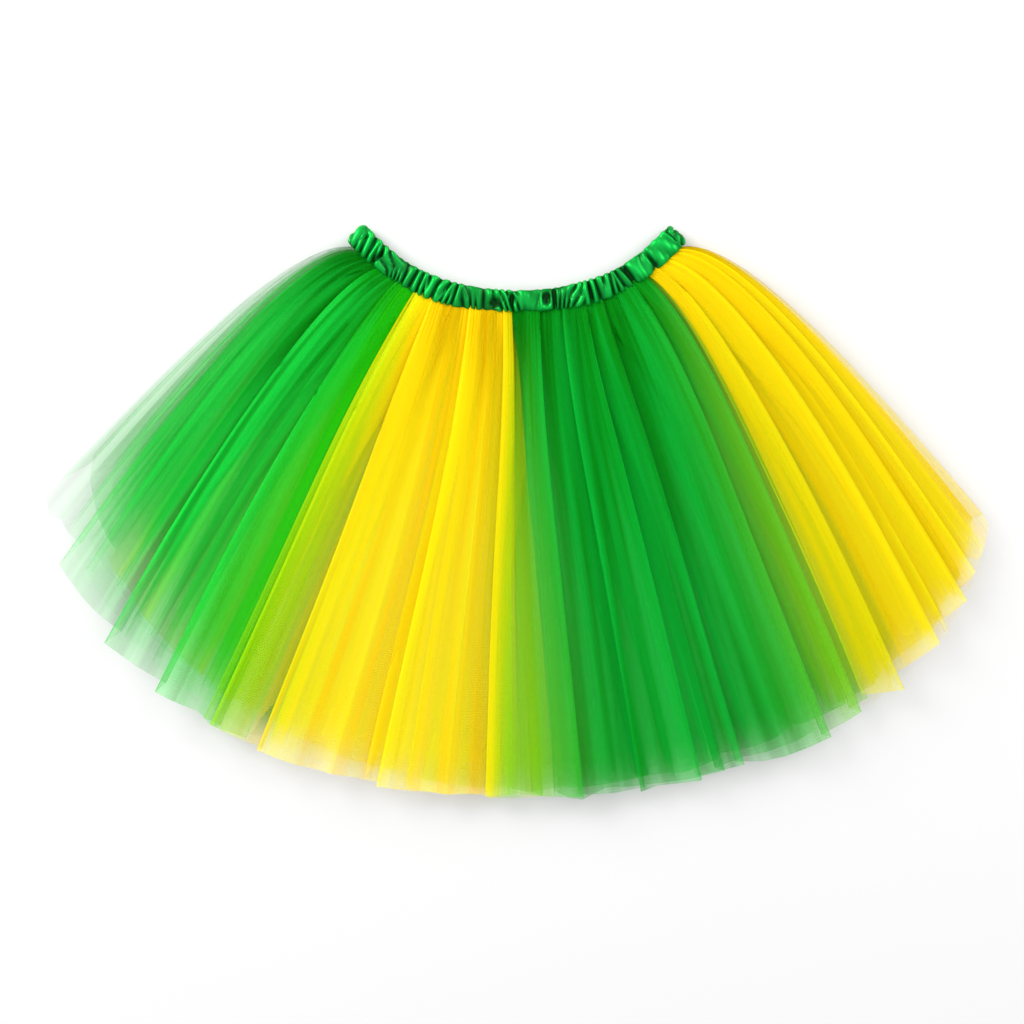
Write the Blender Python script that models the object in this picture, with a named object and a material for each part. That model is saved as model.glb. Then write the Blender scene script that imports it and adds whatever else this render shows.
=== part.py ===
"""A child's tulle skirt, laid flat: a ruched satin waistband ring and six gathered tulle panels.

Metres. +X runs to the skirt's right-hand side as it is seen from above, +Y from hem to waistband,
+Z up. The back rests on Z = 0 and the front lies on it.

A place on the skirt has a bearing, in degrees round the fan of the gathered cloth (-90 is the left
side, 0 the middle, 90 the right side), and a share of the way along from waistband to hem.
"""

import math

import bmesh
import bpy
import numpy as np
from mathutils import Vector

MM = 0.001

# The fan: hem and waist lines, seen from above
HEM_HALF_WIDTH = 284 * MM
HEM_DEPTH = 177 * MM
HEM_MIDDLE_Y = 6 * MM
HEM_LEFT_Y = 11 * MM
HEM_RIGHT_Y = -5 * MM
HEM_SIDE_POWER = 4
WAIST_HALF_WIDTH = 100 * MM
WAIST_MIDDLE_Y = 120.6 * MM
WAIST_SIDE_LIFT = 39.6 * MM
WAIST_POWER = 2.7
FLARE_ANGLE = math.radians(97)
FLARE_LENGTH_SHARE = 0.175
FLARE_POWER = 2.6

# Cloth: a layer's wall is measured straight up, so it is thinner across a steep fold
WALL = 1.5 * MM
GAP = 0.3 * MM
LAYER_STEP = WALL + GAP
ROWS = (0.0, 0.1, 0.28, 0.5, 0.72, 0.88, 1.0)
INNER_ROWS = ROWS[:-1]
WAIST_CLEARANCE = 0.6 * MM

# Folds: how high they stand at the waist and at the hem, and how much air lies between layers
FRONT_RISE = (1.5 * MM, 6.0 * MM)
BACK_RISE = (0.7 * MM, 2.4 * MM)
LAYER_LOFT = 3.2 * MM
CRISP_STEP = 1.2
GENTLE_SHARE = 0.45
SIDE_FADE_FROM = 62.0
SIDE_FADE = 0.55

# Bearing at the hem, and the same gather's bearing at the waist
GATHER_DRIFT = ((-90, -90), (-41.8, -39), (-0.6, -2), (47.8, 53), (90, 90))
FRONT_SPLIT = -0.6
SPLIT_REACH = -3.5 * MM

# Front folds. Columns: bearing of the crest, reach of its tip past the fan's hem line in mm,
# depth of the notch on its crisp side in mm, height as a share of the full rise.
FRONT_FOLDS = (
    (-88.8, -1.0, 1.0, 0.40),
    (-82.2, -11.5, 4.0, 0.50),
    (-76.2, -1.0, 19.0, 0.80),
    (-69.8, -4.5, 4.0, 0.60),
    (-60.7, 0.5, 12.0, 1.00),
    (-49.9, 1.5, 7.5, 0.90),
    (-45.2, -1.5, 3.0, 0.60),
    (-40.6, 0.0, 2.0, 1.00),
    (-33.4, 1.5, 2.0, 0.80),
    (-27.8, 1.5, 1.5, 0.60),
    (-23.2, 0.5, 2.0, 0.70),
    (-17.3, 1.5, 2.0, 1.00),
    (-12.6, 1.0, 1.0, 0.50),
    (-8.6, 0.5, 1.5, 0.60),
    (-3.9, 0.0, 2.0, 0.90),
    (3.6, 0.0, 1.5, 0.70),
    (8.0, 1.8, 1.5, 0.90),
    (11.6, 1.5, 1.0, 0.50),
    (15.0, 2.7, 2.0, 1.00),
    (19.3, 2.0, 1.5, 0.60),
    (22.8, 3.4, 2.8, 0.90),
    (28.6, 1.6, 3.0, 0.80),
    (34.0, 5.2, 3.0, 0.70),
    (41.0, 5.6, 3.0, 1.00),
    (46.6, 1.1, 5.0, 0.80),
    (54.2, 4.7, 12.0, 0.90),
    (63.6, -1.5, 12.5, 1.00),
    (73.0, -2.5, 9.5, 0.80),
    (78.4, -5.0, 15.0, 0.80),
    (83.8, -3.0, 3.0, 0.50),
    (88.8, -1.0, 1.0, 0.40),
)

# Back folds: evenly gathered, each a little off its place, pressed flat between the grooves
BACK_FOLD_COUNT = 26
BACK_FLAT_SHARE = 0.62
BACK_UNEVEN = 0.16
BACK_SHORTER = 4 * MM
BACK_SIDE_SHORTER = 14 * MM
BACK_TIP_REACH = 2.5 * MM
BACK_NOTCH = 3.0 * MM

# Panels, left to right. Columns: name, side, cloth, first bearing, last bearing.
PANELS = (
    ("green_left_front", "front", "green_tulle", -90.0, -41.8),
    ("yellow_centre_front", "front", "yellow_tulle", -41.8, -0.6),
    ("green_right_front", "front", "green_tulle", -0.6, 47.8),
    ("yellow_right_front", "front", "yellow_tulle", 47.8, 90.0),
    ("green_left_back", "back", "green_tulle", -90.0, -68.0),
    ("yellow_back", "back", "yellow_tulle", -68.0, -10.0),
    ("green_back", "back", "green_tulle", -10.0, 50.0),
    ("yellow_right_back", "back", "yellow_tulle", 50.0, 90.0),
)

# Waistband: a ring of ruched satin casing, its front arc lying on its back arc
BAND_HEIGHT = 15.6 * MM
BAND_MIDDLE_PINCH = 1.8 * MM
BAND_PINCH_BEARING = 14.0
BAND_LEVEL_FRONT = 7.2 * MM
BAND_LEVEL_BACK = 2.4 * MM
BAND_INNER_HALF = 2.1 * MM
BAND_CREST_HALF = 2.4 * MM
BAND_VALLEY_HALF = 1.1 * MM
BAND_EDGE_WAVE = 0.7 * MM
FRONT_RUCHES = 45
BACK_RUCHES = 30
BAND_END_STATIONS = 5
# Section of the casing. Columns: share of the half height, thickness on the outer (1) or inner (-1) side.
BAND_SECTION = ((-0.6, 1), (0.6, 1), (1.0, 0.25), (0.7, -1), (-0.7, -1), (-1.0, 0.25))

# Finishes. Columns: name, colour, roughness, metallic.
FINISHES = (
    ("green_tulle", (0.010, 0.420, 0.050), 0.60, 0.0),
    ("yellow_tulle", (1.000, 0.740, 0.003), 0.60, 0.0),
    ("green_satin", (0.006, 0.240, 0.045), 0.32, 0.0),
)


def fan_ends(bearing):
    """The points of one gather's line on the waist and on the hem, and the point that its curve leans to."""
    angle = math.radians(bearing)
    across = math.sin(angle)
    waist_y = WAIST_MIDDLE_Y + WAIST_SIDE_LIFT * abs(across) ** WAIST_POWER
    waist = Vector((WAIST_HALF_WIDTH * across, waist_y))
    side_y = HEM_LEFT_Y if bearing < 0 else HEM_RIGHT_Y
    hem_y = HEM_MIDDLE_Y + (side_y - HEM_MIDDLE_Y) * abs(across) ** HEM_SIDE_POWER
    hem = Vector((HEM_HALF_WIDTH * across, hem_y - HEM_DEPTH * math.cos(angle)))
    lean = math.copysign(FLARE_ANGLE * abs(across) ** FLARE_POWER, across)
    reach = FLARE_LENGTH_SHARE * (hem - waist).length
    return waist, waist + reach * Vector((math.sin(lean), -math.cos(lean))), hem


def fan_point(bearing, along, extra=0.0):
    """A place on the fan, seen from above. Extra is a distance past it in the gather's direction."""
    knots = np.array(GATHER_DRIFT, float)
    at_waist = float(np.interp(bearing, knots[:, 0], knots[:, 1]))
    waist, lean, hem = fan_ends(at_waist + (bearing - at_waist) * along)
    place = (1 - along) ** 2 * waist + 2 * along * (1 - along) * lean + along**2 * hem
    direction = (1 - along) * (lean - waist) + along * (hem - lean)
    return place + extra * direction.normalized()


def blend(ends, share):
    return ends[0] + (ends[1] - ends[0]) * share


def side_share(bearing):
    """1 over most of the skirt, less near its two sides, where the cloth turns under."""
    past = max(0.0, abs(bearing) - SIDE_FADE_FROM) / (90 - SIDE_FADE_FROM)
    return 1 - SIDE_FADE * past**2


def front_columns():
    """(bearing, height share, reach) across the front. Crisp sides face the nearer side of the skirt."""
    columns = [(FRONT_SPLIT, 0.0, SPLIT_REACH)]
    for sign in (-1, 1):
        folds = [fold for fold in FRONT_FOLDS if (fold[0] - FRONT_SPLIT) * sign > 0]
        valley = FRONT_SPLIT
        for bearing, tip, notch, height in folds[::sign]:
            reach = (tip - notch) * MM
            columns.append(((valley + bearing) / 2, height * GENTLE_SHARE, reach))
            columns.append((bearing, height, tip * MM))
            valley = bearing + sign * CRISP_STEP
            columns.append((valley, 0.0, reach))
    return sorted(columns)


def back_columns():
    """(bearing, groove share, reach) across the back: a groove, then a flat that rests on the surface."""
    pitch = 180 / BACK_FOLD_COUNT
    columns = [(-90.0, 0.0, -BACK_SIDE_SHORTER)]
    for i in range(BACK_FOLD_COUNT):
        groove = -90 + pitch * (i + 0.4 + BACK_UNEVEN * math.sin(2.3 * i))
        shorter = blend((BACK_SHORTER, BACK_SIDE_SHORTER), (groove / 90) ** 2)
        tip = BACK_TIP_REACH * math.sin(1.7 * i) - shorter
        columns.append((groove, 1.0, tip - BACK_NOTCH))
        columns.append((groove + CRISP_STEP, 0.0, tip))
        columns.append((groove + pitch * BACK_FLAT_SHARE, 0.0, tip))
    return [column for column in columns if column[0] < 90] + [(90.0, 0.0, -BACK_SIDE_SHORTER)]


def between(columns, first, last):
    """The columns of one panel, with its two edges added where they fall between folds."""
    table = np.array(columns)
    edges = [(b, *(float(np.interp(b, table[:, 0], table[:, k])) for k in (1, 2))) for b in (first, last)]
    inside = [column for column in columns if first + 0.05 < column[0] < last - 0.05]
    return [edges[0], *inside, edges[1]]


def floor_height(side, layer, bearing, fold, along):
    """The height of a layer's underside. Layers are counted up from the surface, 0 to 3."""
    fade = side_share(bearing)
    loft = LAYER_LOFT * layer * math.sin(math.pi * along) * fade
    stacked = LAYER_STEP * layer + loft
    if side == "back":
        return stacked + blend(BACK_RISE, along) * fold
    return stacked + blend(BACK_RISE, along) + blend(FRONT_RISE, along) * fold * fade


def finish(name):
    for label, colour, roughness, metallic in FINISHES:
        if label == name and name not in bpy.data.materials:
            material = bpy.data.materials.new(name)
            material.use_nodes = True
            shader = material.node_tree.nodes["Principled BSDF"]
            shader.inputs["Base Color"].default_value = (*colour, 1)
            shader.inputs["Roughness"].default_value = roughness
            shader.inputs["Metallic"].default_value = metallic
            material.diffuse_color = (*colour, 1)
    return bpy.data.materials[name]


def add_object(name, mesh_builder, finish_name):
    bmesh.ops.recalc_face_normals(mesh_builder, faces=mesh_builder.faces)
    mesh = bpy.data.meshes.new(name)
    mesh_builder.to_mesh(mesh)
    mesh_builder.free()
    mesh.materials.append(finish(finish_name))
    piece = bpy.data.objects.new(name, mesh)
    bpy.context.collection.objects.link(piece)
    return piece


def add_panel(name, side, cloth, columns, rows, layer):
    """One layer of one panel: a pleated grid, pulled straight up to a wall."""
    builder = bmesh.new()
    across, down = len(columns) - 1, len(rows) - 1
    bmesh.ops.create_grid(builder, x_segments=across, y_segments=down, size=1)
    bmesh.ops.triangulate(builder, faces=builder.faces, quad_method="FIXED")
    for vert in builder.verts:
        column = round((vert.co.x + 1) / 2 * across)
        row = round((vert.co.y + 1) / 2 * down)
        bearing, fold, reach = columns[column]
        along = rows[row]
        inset = seam_inset(column, across, along)
        extra = reach if along == 1.0 else WAIST_CLEARANCE if along == 0.0 else 0.0
        place = fan_point(bearing + inset, along, extra)
        vert.co = (place.x, place.y, floor_height(side, layer, bearing, fold, along))
    wall = bmesh.ops.extrude_face_region(builder, geom=builder.faces[:])
    top = [item for item in wall["geom"] if isinstance(item, bmesh.types.BMVert)]
    bmesh.ops.translate(builder, verts=top, vec=(0, 0, WALL))
    return add_object(name, builder, cloth)


def seam_inset(column, last, along):
    """The turn, in degrees, that leaves half a gap beside a seam."""
    width = blend((WAIST_HALF_WIDTH, HEM_HALF_WIDTH), along)
    turn = math.degrees(GAP / 2 / width) * 1.2
    return turn if column == 0 else -turn if column == last else 0.0


def band_height(bearing):
    """The casing is a little lower in the middle of the front and back, where it is pulled tightest."""
    return BAND_HEIGHT - BAND_MIDDLE_PINCH * math.exp(-((bearing / BAND_PINCH_BEARING) ** 2))


def waist_frame(bearing):
    """A point on the casing's middle line, and its unit directions along and across the casing."""
    here, ahead = fan_ends(bearing)[0], fan_ends(bearing + 0.5)[0]
    if bearing > 89:
        here, ahead = fan_ends(bearing - 0.5)[0], fan_ends(bearing)[0]
    along = (ahead - here).normalized()
    across = Vector((-along.y, along.x))
    return fan_ends(bearing)[0] + across * band_height(bearing) / 2, along, across


def arc_bearings(count):
    """Bearings that part the waist line into equal lengths."""
    fine = np.linspace(-90, 90, 721)
    points = np.array([fan_ends(bearing)[0] for bearing in fine])
    lengths = np.concatenate([[0], np.cumsum(np.linalg.norm(np.diff(points, axis=0), axis=1))])
    return np.interp(np.linspace(0, lengths[-1], count), lengths, fine)


def band_stations():
    """(bearing, turn, ruche) round the ring. Turn is 0 on the front arc and 180 degrees on the back arc."""
    stations = []
    for i, bearing in enumerate(arc_bearings(2 * FRONT_RUCHES + 1)):
        stations.append((bearing, 0.0, (i % 2) * (0.8 + 0.2 * math.sin(1.9 * i))))
    turns = [180 * (i + 1) / (BAND_END_STATIONS + 1) for i in range(BAND_END_STATIONS)]
    stations += [(90.0, turn, 0.5 * (i % 2)) for i, turn in enumerate(turns)]
    for i, bearing in enumerate(reversed(arc_bearings(3 * BACK_RUCHES + 1))):
        stations.append((bearing, 180.0, 0.0 if i % 3 == 0 else 1.0))
    stations += [(-90.0, 180 - turn, 0.5 * (i % 2)) for i, turn in enumerate(turns)]
    return stations


def band_point(bearing, turn, ruche, height_share, thickness_side):
    """A point of the casing's skin. At the ring's two ends the casing turns about a line across it."""
    middle, along, across = waist_frame(bearing)
    outward = along if bearing > 0 else -along
    pivot = (BAND_LEVEL_FRONT + BAND_LEVEL_BACK) / 2
    arm = (BAND_LEVEL_FRONT - BAND_LEVEL_BACK) / 2
    outer = BAND_VALLEY_HALF + (BAND_CREST_HALF - BAND_VALLEY_HALF) * ruche
    thickness = thickness_side * (outer if thickness_side > 0 else BAND_INNER_HALF)
    swing = math.radians(turn)
    radius = arm + thickness
    half_height = band_height(bearing) / 2 - BAND_EDGE_WAVE * (1 - ruche)
    flat = middle + across * (height_share * half_height) + outward * (math.sin(swing) * radius)
    return (flat.x, flat.y, pivot + math.cos(swing) * radius)


def add_waistband():
    builder = bmesh.new()
    rings = []
    for bearing, turn, ruche in band_stations():
        points = [band_point(bearing, turn, ruche, share, side) for share, side in BAND_SECTION]
        rings.append([builder.verts.new(point) for point in points])
    for ring, following in zip(rings, rings[1:] + rings[:1]):
        for k in range(len(ring)):
            after = (k + 1) % len(ring)
            builder.faces.new((ring[k], ring[after], following[after], following[k]))
    bmesh.ops.triangulate(builder, faces=builder.faces, quad_method="FIXED")
    return add_object("waistband", builder, "green_satin")


def centre_on_origin(pieces):
    """Puts the middle of the whole outline, seen from above, on the origin."""
    points = np.array([vert.co for piece in pieces for vert in piece.data.vertices])
    middle = (points.min(axis=0) + points.max(axis=0)) / 2
    for piece in pieces:
        for vert in piece.data.vertices:
            vert.co.x -= middle[0]
            vert.co.y -= middle[1]
    print("middle of the outline", middle[:2] / MM, "mm, height", points[:, 2].max() / MM, "mm")


def main():
    for thing in list(bpy.data.objects):
        bpy.data.objects.remove(thing)
    columns = {"front": front_columns(), "back": back_columns()}
    levels = {("back", "outer"): 0, ("back", "inner"): 1, ("front", "inner"): 2, ("front", "outer"): 3}
    pieces = [add_waistband()]
    for label, side, cloth, first, last in PANELS:
        own = between(columns[side], first, last)
        for layer, rows in (("outer", ROWS), ("inner", INNER_ROWS)):
            name = f"panel_{label}_{layer}"
            pieces.append(add_panel(name, side, cloth, own, rows, levels[side, layer]))
    centre_on_origin(pieces)


main()
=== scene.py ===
# %% [markdown]
# # A tulle skirt, laid flat
# The object is a child's party skirt: six gathered panels of soft net, green and yellow in turn,
# hang from a ruched satin waistband. It lies on its back on a pale table and is seen from above.
# Net is see-through, so its colour isn't painted on: it builds up where layers and pleats overlap.
# So each panel in sight is made as three real, thin, pleated sheets of net, and each of the two
# panels behind as two.

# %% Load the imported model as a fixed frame
import math
from collections import namedtuple

import bmesh
import bpy
import numpy as np
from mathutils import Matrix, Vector


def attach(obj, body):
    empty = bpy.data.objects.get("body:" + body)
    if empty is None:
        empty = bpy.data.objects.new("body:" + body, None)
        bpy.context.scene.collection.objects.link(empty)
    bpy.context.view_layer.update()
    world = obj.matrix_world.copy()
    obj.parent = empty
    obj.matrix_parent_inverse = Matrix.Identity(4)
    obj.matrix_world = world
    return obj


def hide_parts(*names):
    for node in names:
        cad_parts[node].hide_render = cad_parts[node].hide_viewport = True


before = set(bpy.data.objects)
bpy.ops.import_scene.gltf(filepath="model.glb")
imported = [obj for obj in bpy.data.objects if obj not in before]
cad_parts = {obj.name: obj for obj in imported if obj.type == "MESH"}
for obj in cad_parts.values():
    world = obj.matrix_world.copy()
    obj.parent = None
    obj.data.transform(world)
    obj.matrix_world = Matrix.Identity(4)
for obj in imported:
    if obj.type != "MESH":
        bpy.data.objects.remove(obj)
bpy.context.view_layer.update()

MM = 0.001

# %% [markdown]
# ## Camera
# The skirt is seen from straight above. A long lens far away keeps the perspective mild, as in a
# product photo. The camera could be set by eye, but its height follows from the lens and from the
# width of table that the picture shows, so it is worked out.

# %% Camera, from the width of table that the picture shows
PICTURE_WIDTH = 1024 * 0.6 * MM
PICTURE_MIDDLE = (-3.3 * MM, -0.4 * MM)
CLOTH_LEVEL = 14 * MM
LENS = 85.0
SENSOR = 36.0
VIEW_END = 20.0


def link_object(name, data):
    made = bpy.data.objects.new(name, data)
    bpy.context.scene.collection.objects.link(made)
    return made


camera = link_object("camera", bpy.data.cameras.new("camera"))
camera.data.lens = LENS
camera.data.sensor_width = SENSOR
camera.data.clip_end = VIEW_END
camera_height = CLOTH_LEVEL + PICTURE_WIDTH * LENS / SENSOR
camera.location = (*PICTURE_MIDDLE, camera_height)
bpy.context.scene.camera = camera
print("camera", round(camera_height, 3), "m above the table")

# %% [markdown]
# ## Floor and light
# The table is a plain white sheet of paper. Two broad, soft lights stand beyond the waistband, left
# and right, so that the shadow falls under the hem. A white sky fills the rest; it is dimmer towards
# the horizon, which leaves the sides of each fold a little darker than its top. An even sky would
# be simpler, but the folds would then hardly show.

# %% Floor
FLOOR_SIZE = 8.0
FLOOR_BELOW = 0.2 * MM
FLOOR_WHITE = (0.69, 0.69, 0.69)
FLOOR_ROUGHNESS = 0.9


def new_material(name):
    """A material, its node tree and its shader."""
    material = bpy.data.materials.new(name)
    material.use_nodes = True
    return material, material.node_tree, material.node_tree.nodes["Principled BSDF"]


def add_floor():
    builder = bmesh.new()
    bmesh.ops.create_grid(builder, x_segments=1, y_segments=1, size=FLOOR_SIZE / 2)
    bmesh.ops.translate(builder, verts=builder.verts, vec=(0, 0, -FLOOR_BELOW))
    mesh = bpy.data.meshes.new("floor")
    builder.to_mesh(mesh)
    builder.free()
    floor = link_object("floor", mesh)
    paper, _, shader = new_material("white_paper")
    shader.inputs["Base Color"].default_value = (*FLOOR_WHITE, 1)
    shader.inputs["Roughness"].default_value = FLOOR_ROUGHNESS
    mesh.materials.append(paper)


add_floor()
print("floor", FLOOR_SIZE, "m square")

# %% Sky and lights
SKY_AT_HORIZON, SKY_OVERHEAD_GAIN = 0.45, 0.75
SOFTBOX_SIZE = 1.1
# Columns: name, place, watts.
SOFTBOXES = (
    ("softbox_left", (-1.45, 1.15, 0.8), 42.0),
    ("softbox_right", (1.45, 1.15, 0.8), 22.0),
)
# How many sheets of net a ray of light may cross before it is given up.
NET_CROSSINGS = 40


def add_softbox(name, place, watts):
    lamp = bpy.data.lights.new(name, "AREA")
    lamp.shape = "SQUARE"
    lamp.size = SOFTBOX_SIZE
    lamp.energy = watts
    softbox = link_object(name, lamp)
    softbox.location = place
    softbox.rotation_euler = (-Vector(place)).to_track_quat("-Z", "Y").to_euler()


def make_sky():
    """A white sky that grows brighter overhead."""
    world = bpy.data.worlds.new("sky")
    world.use_nodes = True
    tree = world.node_tree
    direction = tree.nodes.new("ShaderNodeTexCoord")
    parts = tree.nodes.new("ShaderNodeSeparateXYZ")
    tree.links.new(direction.outputs["Generated"], parts.inputs["Vector"])
    strength = tree.nodes.new("ShaderNodeMath")
    strength.operation = "MULTIPLY_ADD"
    tree.links.new(parts.outputs["Z"], strength.inputs[0])
    strength.inputs[1].default_value = SKY_OVERHEAD_GAIN
    strength.inputs[2].default_value = SKY_AT_HORIZON
    background = tree.nodes["Background"]
    background.inputs["Color"].default_value = (1, 1, 1, 1)
    tree.links.new(strength.outputs[0], background.inputs["Strength"])
    return world


for softbox in SOFTBOXES:
    add_softbox(*softbox)
bpy.context.scene.world = make_sky()
bpy.context.scene.view_settings.view_transform = "Standard"
bpy.context.scene.cycles.transparent_max_bounces = NET_CROSSINGS
print(len(SOFTBOXES), "softboxes and a sky")

# %% [markdown]
# ## The fan
# Gathered net spreads like a fan from the waistband to the hem. Every point of it has a place round
# the ring of the skirt and a share of the way down. The ring place is a bearing in degrees: -90 is
# the left side, 0 the middle of the front, 90 the right side, 180 the middle of the back. The hem is
# part of an ellipse and each gather bends a little as it leaves the band, so a quadratic curve from
# waist to hem gives the whole fan with a handful of sizes.

# %% The fan's sizes and its map
HEM_HALF_WIDTH = 284 * MM
HEM_DEPTH = 177 * MM
HEM_MIDDLE_Y = 6 * MM
HEM_LEFT_Y = 11 * MM
HEM_RIGHT_Y = -5 * MM
HEM_SIDE_POWER = 4
WAIST_HALF_WIDTH = 100 * MM
WAIST_MIDDLE_Y = 120.6 * MM
WAIST_SIDE_LIFT = 39.6 * MM
WAIST_POWER = 2.7
FLARE_ANGLE = math.radians(97)
FLARE_LENGTH_SHARE = 0.175
FLARE_POWER = 2.6
FAN_CENTRING = np.array((0.02, 0.67)) * MM
# Columns: bearing at the hem, bearing at which the same gather leaves the waistband.
GATHER_DRIFT = np.array(((-90, -90), (-41.8, -39), (-0.6, -2), (47.8, 53), (90, 90)), float)


def fold_bearing(ring):
    """The bearing seen from above: the back of the ring runs back from the right side to the left."""
    turned = (np.asarray(ring, float) + 90) % 360 - 90
    return np.where(turned > 90, 180 - turned, turned)


def fan_ends(bearing):
    """Where each gather starts at the waist, the point that it leans towards, and its end at the hem."""
    angle = np.radians(bearing)
    across = np.sin(angle)
    waist_y = WAIST_MIDDLE_Y + WAIST_SIDE_LIFT * np.abs(across) ** WAIST_POWER
    waist = np.stack([WAIST_HALF_WIDTH * across, waist_y], axis=-1)
    side_y = np.where(across < 0, HEM_LEFT_Y, HEM_RIGHT_Y)
    hem_y = HEM_MIDDLE_Y + (side_y - HEM_MIDDLE_Y) * np.abs(across) ** HEM_SIDE_POWER
    hem = np.stack([HEM_HALF_WIDTH * across, hem_y - HEM_DEPTH * np.cos(angle)], axis=-1)
    lean = np.sign(across) * FLARE_ANGLE * np.abs(across) ** FLARE_POWER
    reach = FLARE_LENGTH_SHARE * np.linalg.norm(hem - waist, axis=-1, keepdims=True)
    return waist, waist + reach * np.stack([np.sin(lean), -np.cos(lean)], axis=-1), hem


def fan_place(bearing, along, extra):
    """Places seen from above, for arrays of bearings, shares of the way down, and metres past that."""
    at_waist = np.interp(bearing, GATHER_DRIFT[:, 0], GATHER_DRIFT[:, 1])
    waist, lean, hem = fan_ends(at_waist + (bearing - at_waist) * np.minimum(along, 1))
    share = np.asarray(along)[..., None]
    place = (1 - share) ** 2 * waist + 2 * share * (1 - share) * lean + share**2 * hem
    direction = (1 - share) * (lean - waist) + share * (hem - lean)
    direction /= np.linalg.norm(direction, axis=-1, keepdims=True)
    return place + np.asarray(extra)[..., None] * direction - FAN_CENTRING


hem_middle = fan_place(np.array([0.0]), np.ones(1), np.zeros(1))
middle_length = np.linalg.norm(hem_middle - (0, WAIST_MIDDLE_Y))
print("net length down the middle", round(float(middle_length) / MM), "mm")

# %% [markdown]
# ## Pleats
# On the real skirt the gathers fall open into knife pleats: the net runs forward to a crisp edge,
# folds back under itself, and runs forward again. Seen from above, that gives one thickness of net
# in places and three in others, with a sharp line at each fold, and a step in the hem where a fold's
# corner pokes out. A wavy height field can't do this, because it never folds back, so each sheet is
# a strip of columns that really turns back at its folds. The folds that show best were measured;
# the others, inside and on the back, follow a gentle uneven rhythm.

# %% The front's folds
# Columns: bearing of the crisp edge, reach of its corner past the hem line in mm, depth of the notch
# beside it in mm, height as a share of the full rise, side that its crisp edge faces.
FRONT_FOLDS = (
    (-88.8, -1.0, 1.0, 0.40, "left"),
    (-82.2, -11.5, 4.0, 0.50, "left"),
    (-76.2, -1.0, 19.0, 0.80, "left"),
    (-69.8, -4.5, 4.0, 0.60, "left"),
    (-60.7, 0.5, 12.0, 1.00, "left"),
    (-49.9, 1.5, 7.5, 0.90, "left"),
    (-45.2, -1.5, 3.0, 0.60, "left"),
    (-40.6, 0.0, 2.0, 1.00, "left"),
    (-33.4, 1.5, 2.0, 0.80, "left"),
    (-27.8, 1.5, 1.5, 0.60, "left"),
    (-23.2, 0.5, 2.0, 0.70, "left"),
    (-17.3, 1.5, 2.0, 1.00, "left"),
    (-12.6, 1.0, 1.0, 0.50, "left"),
    (-8.6, 0.5, 1.5, 0.60, "left"),
    (-3.9, 0.0, 2.0, 0.90, "left"),
    (3.6, 0.0, 1.5, 0.70, "right"),
    (8.0, 1.8, 1.5, 0.90, "right"),
    (11.6, 1.5, 1.0, 0.50, "right"),
    (15.0, 2.7, 2.0, 1.00, "left"),
    (19.3, 2.0, 1.5, 0.60, "right"),
    (22.8, 3.4, 2.8, 0.90, "right"),
    (28.6, 1.6, 3.0, 0.80, "right"),
    (34.0, 5.2, 3.0, 0.70, "right"),
    (41.0, 5.6, 3.0, 1.00, "right"),
    (46.6, 1.1, 5.0, 0.80, "right"),
    (54.2, 4.7, 12.0, 0.90, "right"),
    (63.6, -1.5, 12.5, 1.00, "right"),
    (73.0, -2.5, 9.5, 0.80, "right"),
    (78.4, -5.0, 15.0, 0.80, "right"),
    (83.8, -3.0, 3.0, 0.50, "right"),
    (88.8, -1.0, 1.0, 0.40, "right"),
)
print(len(FRONT_FOLDS), "measured folds across the front")

# %% A rhythm for the hidden folds
HIDDEN_PITCH = 6.0
HIDDEN_SHIFT = 0.3
HIDDEN_TIP = 2.5
# The middle value, and how far it swings either way.
HIDDEN_HEIGHT = (0.75, 0.25)
HIDDEN_NOTCH = (3.0, 2.0)
FRONT_SPLIT = -0.6
# Paces of the two waves behind the uneven values: for the whole number, and for the seed.
UNEVEN_FAST, UNEVEN_SLOW = (12.9898, 78.233), (4.1414, 1.7)
NEXT_VALUES = 40


def uneven(number, seed):
    """A steady value from -1 to 1 for each whole number, so that every run gives the same folds."""
    fast = math.sin(number * UNEVEN_FAST[0] + seed * UNEVEN_FAST[1])
    return fast * math.cos(number * UNEVEN_SLOW[0] + seed * UNEVEN_SLOW[1])


def rhythm(first, last, seed):
    """Evenly gathered folds between two bearings, each a little off its place."""
    count = max(2, round((last - first) / HIDDEN_PITCH))
    pitch = (last - first) / count
    folds = []
    for i in range(count):
        shift, grow, poke, cut = (uneven(i + k * NEXT_VALUES, seed) for k in range(4))
        place = first + pitch * (i + 0.5 + HIDDEN_SHIFT * shift)
        height = HIDDEN_HEIGHT[0] + HIDDEN_HEIGHT[1] * grow
        notch = HIDDEN_NOTCH[0] + HIDDEN_NOTCH[1] * cut
        turned = (place + 90) % 360 - 90
        faces = "right" if (turned > FRONT_SPLIT) != (turned > 90) else "left"
        folds.append((place, HIDDEN_TIP * poke, notch, height, faces))
    return folds


print(len(rhythm(90.0, 270.0, 0)), "hidden folds across the back")

# %% [markdown]
# ## A sheet's columns
# A pleated sheet is described once, across its width, as a list of columns. Each column knows its
# ring bearing, how far it is lifted, how far its end reaches, and whether it is on a crease. The same
# list then serves every row from waist to hem. Moving a column is a change in one place, which is
# easier than bending a finished surface.

# %% Columns of a knife-pleated sheet
RUN_COLUMNS = 9
BACK_RUN_COLUMNS = 5
CREASE_WIDTH = 0.06
FORWARD_POWER, BACK_POWER = 1.5, 1.2
CRISP_FROM = 0.75
DIP_LIFT = 0.25
# How far a fold's hidden corner lies under the flap, at the hem and at the waist, as a share of the
# room beside it, and how much that differs from fold to fold.
UNDERLAP_HEM, UNDERLAP_WAIST = 0.17, 2.4
UNDERLAP_SWING = 0.6
LOW_LIFT = -0.1
BURIED_LIFT = 0.2


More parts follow.
